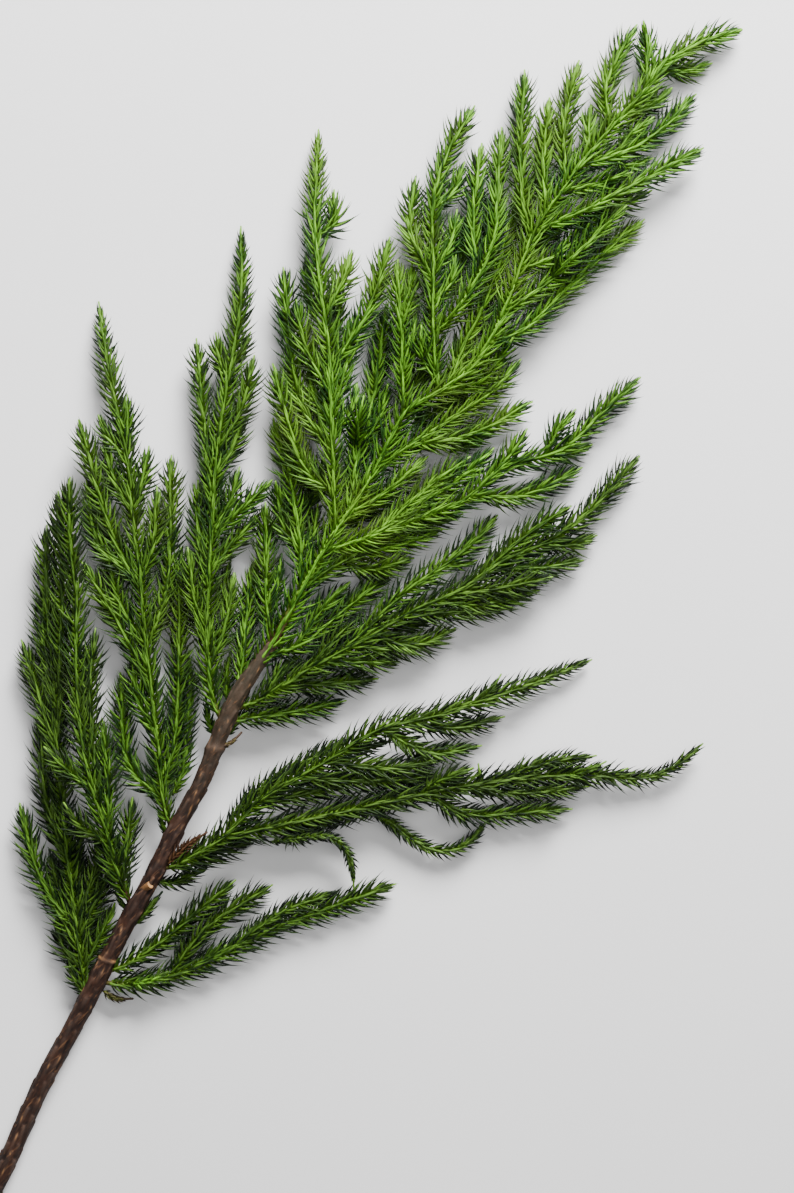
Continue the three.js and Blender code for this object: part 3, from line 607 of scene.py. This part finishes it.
def fresh_needle():
    """Living conifer needle: a waxy skin, satin, yellow-green at the base and darker towards its point."""
    material, tree, shader = new_material("fresh_conifer_needle")
    tone_and_shade, along, wood, age_and_shade = [attribute(tree, name) for name in ("tone_and_shade", "along", "wood", "age_and_shade")]
    place = add(tree, "ShaderNodeTexCoord").outputs["Object"]
    patches = noise(tree, place, 0.035, 3.0)
    # The tone paints top needles lighter and under ones darker, as painted light and painted shade
    dark_to_middle = span(tree, tone_and_shade, 0.0, 0.5)
    middle_to_light = span(tree, tone_and_shade, 0.45, 1.0)
    # The old ramp is darker, partly for older needles and partly as painted shade on limbs in less light
    young = mix(tree, middle_to_light, mix(tree, dark_to_middle, "#061202", "#183b09"), "#70ab2d")
    old_and_shaded = mix(tree, middle_to_light, mix(tree, dark_to_middle, "#020602", "#081804"), "#4c6a24")
    yellower = span(tree, patches, 0.45, 0.72, 0.0, 0.25)
    green = mix(tree, age_and_shade, mix(tree, yellower, young, "#86a832"), old_and_shaded)
    base = span(tree, along, 0.0, 0.3, 0.45, 0.0)
    point = span(tree, along, 0.72, 1.0, 0.0, 0.6)
    green = mix(tree, point, mix(tree, base, green, "#7fb036"), "#16300f")
    colour = mix(tree, wood, green, mix(tree, tone_and_shade, "#1d120d", "#573722"))
    tree.links.new(colour, shader.inputs["Base Color"])
    tree.links.new(span(tree, patches, 0.3, 0.7, 0.45, 0.6), shader.inputs["Roughness"])
    shader.inputs["IOR"].default_value = 1.45
    shader.inputs["Specular IOR Level"].default_value = 0.22
    return material


def conifer_bark():
    """Young conifer bark: dark brown and matt, with tan scars where old leaves broke off."""
    material, tree, shader = new_material("young_conifer_bark")
    scar, cut, height, ridge = [attribute(tree, name) for name in ("scar", "cut", "along", "ridge")]
    place = add(tree, "ShaderNodeTexCoord").outputs["Object"]
    grain = noise(tree, stretched(tree, place, 63, 4), 0.0016, 6.0, 0.65)
    fleck = noise(tree, stretched(tree, place, 42, 7), 0.0012, 2.0)
    blotch = noise(tree, place, 0.009, 3.0)
    brown = mix(tree, span(tree, grain, 0.35, 0.68), "#0c0605", "#2e1a11")
    # The first mix paints the raised leaf cushions paler grey-brown: partly the bark's own grey, partly painted
    # highlight on the ridges
    for share, colour in ((span(tree, ridge, 0.1, 0.6, 0.0, 0.6), "#4d3c33"),
                          (span(tree, blotch, 0.5, 0.78, 0.0, 0.5), "#472b1d"),
                          (span(tree, height, 0.66, 1.0, 0.0, 0.5), "#433d2e"),
                          (span(tree, fleck, 0.6, 0.74, 0.0, 0.4), "#7d5638"),
                          (scar, "#946a42"),
                          (cut, "#d2a66e")):
        brown = mix(tree, share, brown, colour)
    tree.links.new(brown, shader.inputs["Base Color"])
    tree.links.new(span(tree, grain, 0.3, 0.7, 0.62, 0.9), shader.inputs["Roughness"])
    shader.inputs["Specular IOR Level"].default_value = 0.2
    bump = add(tree, "ShaderNodeBump", values={"Strength": 0.8, "Distance": 0.0009}, links={"Height": grain})
    tree.links.new(bump.outputs["Normal"], shader.inputs["Normal"])
    return material


def matt_table():
    """Matt white laminate under the branch."""
    material, tree, shader = new_material("matt_white_laminate")
    cloud = noise(tree, add(tree, "ShaderNodeTexCoord").outputs["Object"], 0.3, 2.0)
    tree.links.new(mix(tree, cloud, "#dcdcdd", "#e4e3e2"), shader.inputs["Base Color"])
    shader.inputs["Roughness"].default_value = 0.6
    return material


needle_material = fresh_needle()
bark_material = conifer_bark()


# Modelling

def deselect():
    bpy.ops.object.select_all(action="DESELECT")


def set_values(mesh, name, values):
    """Puts one number on each vertex of a mesh, for its material."""
    values = np.asarray(values, np.float32)
    mesh.attributes.new(name, "FLOAT", "POINT").data.foreach_set("value", values)


def model_needle():
    """One needle, standing on its base along +Z with a length and a width of 1: a four-edged awl."""
    deselect()
    bpy.ops.mesh.primitive_cone_add(vertices=4, radius1=0.5, radius2=0, depth=1, location=(0, 0, 0.5))
    cone = bpy.context.object
    bpy.ops.object.transform_apply(location=True, rotation=True, scale=True)
    bpy.ops.object.mode_set(mode="EDIT")
    for height in (0.3, 0.6, 0.84):
        bpy.ops.mesh.select_all(action="SELECT")
        bpy.ops.mesh.bisect(plane_co=(0, 0, height), plane_no=(0, 0, 1))
    bpy.ops.mesh.select_all(action="SELECT")
    bpy.ops.mesh.quads_convert_to_tris()
    bpy.ops.object.mode_set(mode="OBJECT")
    mesh = cone.data
    verts = np.array([v.co[:] for v in mesh.vertices])
    faces = np.array([p.vertices[:] for p in mesh.polygons])
    bpy.data.objects.remove(cone)
    bpy.data.meshes.remove(mesh)
    # The awl keeps its width over its lower half, then runs to a point
    width = np.maximum(1 - smoothstep(verts[:, 2], 0.35, 1.05), 0.12)
    cone_width = np.maximum(1 - verts[:, 2], 1e-6)
    verts[:, :2] *= np.where(verts[:, 2] < 0.999, width / cone_width, 1)[:, None]
    verts[:, 0] *= 0.8
    return verts, faces


needle_verts, needle_faces = model_needle()


def frames(points, at):
    """Place, tangent, side and top of a run at distances along it."""
    along = distances(points)
    place = np.stack([np.interp(at, along, points[:, k]) for k in range(3)], axis=1)
    slopes = np.gradient(points, along, axis=0)
    tangent = np.stack([np.interp(at, along, slopes[:, k]) for k in range(3)], axis=1)
    tangent /= np.linalg.norm(tangent, axis=1)[:, None]
    side = np.cross(tangent, (0, 0, 1))
    side /= np.linalg.norm(side, axis=1)[:, None]
    return place, tangent, side, np.cross(side, tangent)


def needle_arrays(points, radii, bare, scale, dry, thinning=TWIG_THINNING):
    """Needles in a spiral up a run of points, as joined vertices, faces, tone with painted top light and under
    shade, share of length and dryness.
    """
    length = distances(points)[-1]
    count = int((length - bare - LAST_NEEDLE * MM) / (NEEDLE_SPACING * MM))
    shift = rng.uniform(-SPACING_SPREAD, SPACING_SPREAD, count)
    at = np.clip(bare + (np.arange(count) + shift) * NEEDLE_SPACING * MM, 0, length)
    place, tangent, side, top = frames(points, at)
    turn = np.radians(90 + DIVERGENCE * np.arange(count) + rng.normal(0, TURN_SPREAD, count))
    out = np.cos(turn)[:, None] * side + np.sin(turn)[:, None] * top

    # How far each needle leans out, how long it is and how much it bows
    to_tip = smoothstep(length - at, *TUFT * MM)
    lean = TOP_LEAN + (SIDE_LEAN - TOP_LEAN) * np.abs(np.cos(turn))
    lean = np.radians(TIP_LEAN + (lean - TIP_LEAN) * to_tip + rng.normal(0, LEAN_SPREAD, count))
    thin = smoothstep(length - at, TUFT[0] * MM, thinning * MM)
    from_root = smoothstep(at - bare, 0, FIRST_NEEDLES * MM)
    size = scale * NEEDLE_LENGTH * MM * (TIP_LENGTH + (1 - TIP_LENGTH) * thin)
    size *= ROOT_LENGTH + (1 - ROOT_LENGTH) * from_root
    size *= rng.normal(1, LENGTH_SPREAD, count) * np.where(np.sin(turn) > RIDGE_FROM, RIDGE_LENGTH, 1)
    bend = rng.normal(BEND, BEND_SPREAD, count)
    width = NEEDLE_WIDTH * MM * (TUFT_WIDTH + (1 - TUFT_WIDTH) * to_tip) * rng.normal(1, WIDTH_SPREAD, count)

    # The one modelled needle, put in each place
    ahead = np.cos(lean)[:, None] * tangent + np.sin(lean)[:, None] * out
    inward = np.sin(lean)[:, None] * tangent - np.cos(lean)[:, None] * out
    across = np.cross(ahead, inward)
    root = place + out * (SUNK * np.interp(at, distances(points), radii))[:, None]
    x, y, z = needle_verts.T
    bow = width[:, None] * x + size[:, None] * bend[:, None] * z ** 2
    verts = (root[:, None] + (size[:, None] * z)[..., None] * ahead[:, None] + bow[..., None] * inward[:, None]
             + (width[:, None] * y)[..., None] * across[:, None])
    height = verts[..., 2]
    pressed = PRESSED * MM * (1 + np.exp(np.minimum(height / MM, 0) - CLEARANCE))
    verts[..., 2] = np.where(height < CLEARANCE * MM, pressed, height)
    faces = needle_faces[None] + (np.arange(count) * len(needle_verts))[:, None, None]
    # Top needles painted lighter and under ones darker: painted light and shade, plus a random spread
    tone_and_shade = np.clip(TONE + PAINTED_TOP_LIGHT * np.sin(turn) + rng.normal(0, TONE_SPREAD, count), 0, 1)
    return (verts.reshape(-1, 3), faces.reshape(-1, 3), np.repeat(tone_and_shade, len(z)), np.tile(z, count),
            np.full(count * len(z), float(dry)))


def mesh_from_arrays(name, verts, faces, attributes):
    """A smooth mesh of triangles, with its named values."""
    mesh = bpy.data.meshes.new(name)
    mesh.vertices.add(len(verts))
    mesh.vertices.foreach_set("co", verts.astype(np.float32).ravel())
    mesh.loops.add(faces.size)
    mesh.loops.foreach_set("vertex_index", faces.astype(np.int32).ravel())
    mesh.polygons.add(len(faces))
    mesh.polygons.foreach_set("loop_start", np.arange(0, faces.size, 3, dtype=np.int32))
    mesh.polygons.foreach_set("use_smooth", np.ones(len(faces), bool))
    for key, values in attributes.items():
        set_values(mesh, key, values)
    mesh.update(calc_edges=True)
    mesh.validate()
    return mesh


def tube(points, radii):
    """Closed tube round a run of points, as vertices and triangles."""
    sides = RIB_SIDES
    _, tangent, side, top = frames(points, distances(points))
    angles = np.arange(sides) * 2 * math.pi / sides
    ring = np.cos(angles)[None, :, None] * side[:, None] + np.sin(angles)[None, :, None] * top[:, None]
    verts = (points[:, None] + radii[:, None, None] * ring).reshape(-1, 3)
    verts = np.vstack([verts, points[0], points[-1] + tangent[-1] * radii[-1]])
    last = (len(points) - 1) * sides
    start, tip = last + sides, last + sides + 1
    faces = []
    for k in range(sides):
        m = (k + 1) % sides
        for i in range(0, last, sides):
            faces += [(i + k, i + m, i + sides + m), (i + k, i + sides + m, i + sides + k)]
        faces += [(start, m, k), (tip, last + k, last + m)]
    return verts, np.array(faces)


def foliage(name, age_and_shade):
    """One limb with its twigs and sprigs: green ribs, and needles all round them."""
    parts, ages_and_shade = [], []
    for number, run in enumerate([run for run in runs if run["piece"] == name]):
        whole = np.vstack([run["start"], run["points"]]) if "start" in run else run["points"]
        if (name, number) in HANGING:
            whole = on_table(spaced(plan(HANGING[name, number])))
        along = distances(whole)
        rib = (RIB_RADIUS if run["twig"] else LIMB_RIB_RADIUS) * MM
        radii = np.interp(along, [0, along[-1]], [rib, TIP_RIB_RADIUS * MM])
        if name == "leader":
            radii = np.interp(along, LEADER_RIB[0] * MM, LEADER_RIB[1] * MM)
        verts, faces = tube(whole, radii)
        woody = 1 - smoothstep(along, *np.array(WOODY_BASE.get(name, SHORT_BASE)) * MM)
        woody *= run["on"] == "stem" and not run["twig"]
        woody = np.concatenate([np.repeat(woody, RIB_SIDES), woody[[0, -1]]])
        parts.append((verts, faces, RIB_TONE - WOODY_FALL * woody, np.full(len(verts), RIB_SHARE), woody))
        bare = BARE.get(run["on"], FORK_BARE) if "start" in run else TWIG_BARE
        scale = SLIM.get(name, {}).get(number, LUSH.get(name, 1))
        thinning = TWIG_THINNING if run["twig"] else SLENDER.get(name, TWIG_THINNING)
        parts.append(needle_arrays(whole, radii, bare * MM, scale, 0, thinning))
        twig_age_and_shade = np.clip(age_and_shade + AGE_SPREAD * rng.normal(), 0, 1)
        ages_and_shade += [np.full(len(part[0]), twig_age_and_shade) for part in parts[-2:]]
    for carrier, route, scale, dry, sprig_age_and_shade in SPRIGS:
        if carrier == name:
            points = on_table(spaced(plan(route)))
            radii = np.full(len(points), SPRIG_RIB_RADIUS * MM)
            verts, faces = tube(points, radii)
            parts.append((verts, faces, *[np.full(len(verts), v) for v in (SPRIG_TONE, SPRIG_SHARE, dry)]))
            parts.append(needle_arrays(points, radii, SPRIG_BARE * MM, scale, dry))
            ages_and_shade += [np.full(len(part[0]), sprig_age_and_shade) for part in parts[-2:]]
    offsets = np.cumsum([0] + [len(part[0]) for part in parts[:-1]])
    tone_and_shade, share, wood = [np.concatenate([part[k] for part in parts]) for k in (2, 3, 4)]
    mesh = mesh_from_arrays(name + "_shoot", np.vstack([part[0] for part in parts]),
                            np.vstack([part[1] + offset for part, offset in zip(parts, offsets)]),
                            {"tone_and_shade": tone_and_shade, "along": share, "wood": wood, "age_and_shade": np.concatenate(ages_and_shade)})
    piece = bpy.data.objects.new(name + "_shoot", mesh)
    bpy.context.collection.objects.link(piece)
    mesh.materials.append(needle_material)
    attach(piece, "root")
    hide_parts(name)


def cut_stub():
    """A side shoot cut off close to the stem: a short peg with a pale face."""
    deselect()
    bpy.ops.mesh.primitive_cylinder_add(vertices=STUB_SIDES, radius=STUB_RADIUS * MM, depth=STUB_LENGTH * MM)
    stub = bpy.context.object
    mesh = stub.data
    bpy.ops.object.mode_set(mode="EDIT")
    edit = bmesh.from_edit_mesh(mesh)
    for face in edit.faces:
        face.select_set(face.normal.z > 0.9)
    bmesh.update_edit_mesh(mesh)
    for inset in STUB_INSETS:
        bpy.ops.mesh.inset(thickness=inset * MM)
    bpy.ops.object.mode_set(mode="OBJECT")
    face_radius = (STUB_RADIUS - STUB_EDGE) * MM
    set_values(mesh, "cut", [STUB_CUT * (math.hypot(v.co.x, v.co.y) < face_radius) for v in mesh.vertices])
    set_values(mesh, "scar", [STUB_SCAR * (v.co.z > 0) for v in mesh.vertices])
    stub.location = on_table(np.array(plan([STUB_PLACE])[0]))
    stub.rotation_euler = Vector(STUB_AIM).to_track_quat("Z", "Y").to_euler()
    bpy.ops.object.transform_apply(location=True, rotation=True, scale=True)
    mesh.materials.append(bark_material)
    return stub


def bark_relief(s, a, radius):
    """Leaf cushions, scars and rings at distances s up the stem and angles a: how high and how tan they are."""
    lift, scar = np.zeros_like(s), np.zeros_like(s)
    for k in range(int(stem_along[-1] / CUSHION_PITCH)):
        tip = CUSHION_PITCH * (k + rng.uniform(-PITCH_SPREAD, PITCH_SPREAD)) + FIRST_CUSHION
        turn = math.radians(CUSHION_TURN * k) + rng.normal(0, CUSHION_SWAY)
        length, wide = rng.uniform(*CUSHION_LENGTH), rng.uniform(*CUSHION_WIDTH)
        share = (s - tip) / length + 1
        slant = (1 - share) * rng.normal(0, CUSHION_SLANT)
        around = ((a - turn + slant + math.pi) % (2 * math.pi) - math.pi) * radius
        across = np.clip(1 - (around / wide) ** 2, 0, 1)
        drop = np.clip((CUSHION_END - share) / (CUSHION_END - 1), 0, 1)
        back = np.where(share < 1, np.clip(share, 0, 1), drop)
        lift = np.maximum(lift, rng.uniform(*CUSHION_HEIGHT) * back * across)
        if rng.random() < SCAR_SHARE:
            up = (s - tip + SCAR_BELOW) / rng.uniform(*SCAR_LENGTH)
            mark = np.exp(-up ** 2 - (around / rng.uniform(*SCAR_WIDTH)) ** 2)
            scar = np.maximum(scar, mark * rng.uniform(*SCAR_TINT))
    for place, tall, wide, tint in RINGS:
        ring = s - stem_along[nearest(stem_run, place)] - RING_TILT * np.cos(a)
        lift += tall * np.exp(-(ring / wide) ** 2)
        line = np.exp(-((ring - RING_EDGE) / RING_EDGE_WIDTH) ** 2)
        scar = np.maximum(scar, tint * line * (1 - RING_FADE + RING_FADE * np.sin(3 * a)))
    return lift, scar


def bark_stem():
    """The stem: a cylinder cut into rings, laid along its route and raised into cushions, knots and rings."""
    deselect()
    bpy.ops.mesh.primitive_cylinder_add(vertices=STEM_SIDES, radius=1, depth=1, end_fill_type="TRIFAN",
                                        location=(0, 0, 0.5))
    piece = bpy.context.object
    piece.name = "stem_bark"
    mesh = piece.data
    bpy.ops.object.transform_apply(location=True, rotation=True, scale=True)
    bpy.ops.object.mode_set(mode="EDIT")
    bpy.ops.mesh.select_mode(type="EDGE")
    bpy.ops.mesh.select_all(action="DESELECT")
    edit = bmesh.from_edit_mesh(mesh)
    for edge in edit.edges:
        edge.select_set(abs(edge.verts[0].co.z - edge.verts[1].co.z) > 0.5)
    bmesh.update_edit_mesh(mesh)
    bpy.ops.mesh.subdivide_edgering(number_cuts=STEM_RINGS, interpolation="LINEAR")
    bpy.ops.mesh.select_all(action="SELECT")
    bpy.ops.mesh.normals_make_consistent(inside=False)
    bpy.ops.object.mode_set(mode="OBJECT")
    bpy.ops.object.shade_smooth()
    x, y, z = np.array([v.co[:] for v in mesh.vertices]).T
    s, a, rim = z * stem_along[-1], np.arctan2(y, x), np.hypot(x, y) > 0.5
    radius = stem_radius(s) - KNOT_CUT * fork_swell(s)
    radius -= END_TAPER * smoothstep(s, stem_along[-1] - END_LENGTH, stem_along[-1])
    lift, scar = bark_relief(s, a, radius)
    run = runs[0]["points"]
    place, _, side, top = frames(run, z * distances(run)[-1])
    reach = np.where(rim, radius + lift - BARK_INSET, 0) * MM
    verts = place + reach[:, None] * (np.cos(a)[:, None] * side + np.sin(a)[:, None] * top)
    verts[:, 2] = np.maximum(verts[:, 2], 0)
    mesh.vertices.foreach_set("co", verts.astype(np.float32).ravel())
    for key, values in (("scar", scar), ("cut", ~rim & (z < 0.5)), ("along", z), ("ridge", lift)):
        set_values(mesh, key, values)
    mesh.update()
    mesh.materials.append(bark_material)
    stub = cut_stub()
    deselect()
    stub.select_set(True)
    piece.select_set(True)
    bpy.context.view_layer.objects.active = piece
    bpy.ops.object.join()
    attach(piece, "root")
    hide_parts("stem")


bark_stem()
for name in ["leader"] + [limb[0] for limb in LIMBS]:
    foliage(name, AGE_AND_SHADE.get(name, YOUNG_AND_LIT))

# Table, in metres

TABLE_SIZE = 8
deselect()
bpy.ops.mesh.primitive_plane_add(size=TABLE_SIZE, location=(0, 0, 0))
table = bpy.context.object
table.name = "table"
bpy.ops.object.mode_set(mode="EDIT")
bpy.ops.mesh.subdivide(number_cuts=3)
bpy.ops.object.mode_set(mode="OBJECT")
table.data.materials.append(matt_table())


# Light and camera

def area_light(name, place, size, power):
    """A square light that looks at the middle of the branch, in metres and watts."""
    light = bpy.data.lights.new(name, "AREA")
    light.size, light.energy = size, power
    lamp = bpy.data.objects.new(name, light)
    lamp.location = place
    lamp.rotation_euler = (-Vector(place)).to_track_quat("-Z", "Y").to_euler()
    bpy.context.collection.objects.link(lamp)


area_light("window", place=(0.45, 1.5, 1.0), size=0.9, power=150)
area_light("ceiling", place=(0.4, 0.0, 2.2), size=2.0, power=30)
world = bpy.data.worlds.new("room")
bpy.context.scene.world = world
world.use_nodes = True
background = world.node_tree.nodes["Background"]
background.inputs["Color"].default_value = linear("#f1f3f6")
background.inputs["Strength"].default_value = 0.15

VIEW_WIDTH, VIEW_HEIGHT = 397, 596.5  # what the camera sees of the layout sheet, in millimetres
VIEW_DISTANCE = 1200  # from the camera down to the level where it sees this much
VIEW_LEVEL = 12
SENSOR = 36
camera_data = bpy.data.cameras.new("camera")
camera_data.sensor_width = SENSOR
camera_data.lens = SENSOR * VIEW_DISTANCE / VIEW_HEIGHT
camera = bpy.data.objects.new("camera", camera_data)
middle = on_table(np.array([VIEW_WIDTH / 2, -VIEW_HEIGHT / 2, 0]))
camera.location = (middle[0], middle[1], (VIEW_DISTANCE + VIEW_LEVEL) * MM)
bpy.context.collection.objects.link(camera)
bpy.context.scene.camera = camera
